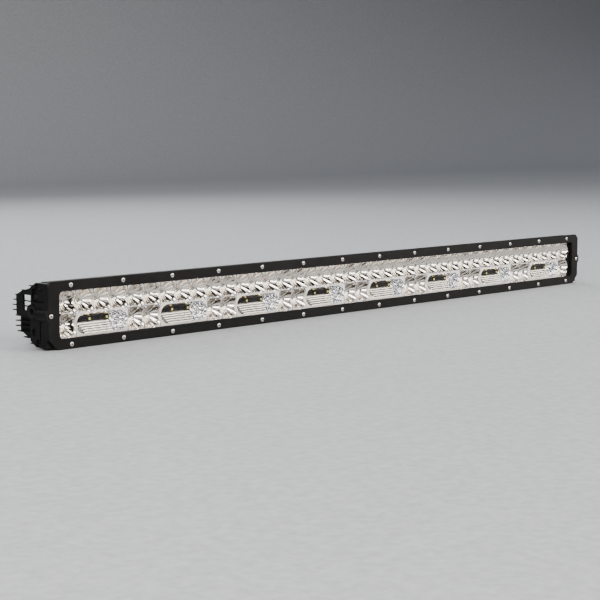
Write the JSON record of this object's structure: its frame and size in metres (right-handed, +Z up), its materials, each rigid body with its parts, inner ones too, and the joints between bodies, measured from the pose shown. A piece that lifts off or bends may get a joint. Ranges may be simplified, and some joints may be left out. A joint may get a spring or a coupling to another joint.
{
  "type": "led light bar",
  "caption": "Straight dual-row vehicle light bar with a finned back, clear front lens, screwed bezel and threaded end mounts.",
  "frame": {"origin": "centre of the whole bar's bounding box", "axes": "+X along the bar to the reader's right when facing its lens, +Y from the lens towards the fins, +Z up; light leaves along -Y"},
  "size_m": [1.063, 0.0688, 0.079],
  "materials": {
    "powder_black": "fine satin black powder coat on aluminium",
    "stainless": "bright stainless steel",
    "black_steel": "black zinc-plated steel",
    "reflector_chrome": "vacuum-metallised mirror on moulded plastic",
    "clear_lens": "clear hard-coated polycarbonate",
    "seal_rubber": "matt black silicone rubber",
    "board_mask": "black solder mask over an aluminium board",
    "led_phosphor": "yellow phosphor under a clear dome",
    "thermal_pad": "soft grey thermal pad",
    "bare_aluminium": "bare machined aluminium",
    "black_plastic": "matt black nylon",
    "chip_epoxy": "black moulded epoxy",
    "lead_red": "red wire insulation",
    "lead_black": "black wire insulation",
    "vent_ptfe": "white vent membrane"
  },
  "bodies": {
    "root": {"housing": "powder_black", "end_cap_left": "powder_black", "end_cap_right": "powder_black", "end_gasket_left": "seal_rubber", "end_gasket_right": "seal_rubber", "end_cap_screws": "black_steel", "mount_insert_left": "black_steel", "mount_insert_right": "black_steel", "bezel": "powder_black", "bezel_screws": "stainless", "lens": "clear_lens", "lens_gasket": "seal_rubber", "reflector_1": "reflector_chrome", "reflector_2": "reflector_chrome", "reflector_3": "reflector_chrome", "reflector_4": "reflector_chrome", "reflector_5": "reflector_chrome", "reflector_6": "reflector_chrome", "reflector_7": "reflector_chrome", "reflector_8": "reflector_chrome", "led_board_1": "board_mask", "led_board_2": "board_mask", "led_board_3": "board_mask", "led_board_4": "board_mask", "thermal_pad_1": "thermal_pad", "thermal_pad_2": "thermal_pad", "thermal_pad_3": "thermal_pad", "thermal_pad_4": "thermal_pad", "cup_leds_1": "led_phosphor", "cup_leds_2": "led_phosphor", "cup_leds_3": "led_phosphor", "cup_leds_4": "led_phosphor", "trough_leds": "led_phosphor", "trough_strips": "board_mask", "trough_risers": "bare_aluminium", "board_screws": "stainless", "board_bridges": "black_plastic", "driver_chips": "chip_epoxy", "driver_coils": "chip_epoxy", "gland_body": "black_plastic", "gland_seal": "seal_rubber", "gland_nut": "black_plastic", "input_terminal": "black_plastic", "input_lead_positive": "lead_red", "input_lead_negative": "lead_black", "vent_body": "black_plastic", "vent_membrane": "vent_ptfe"}
  },
  "joints": []
}
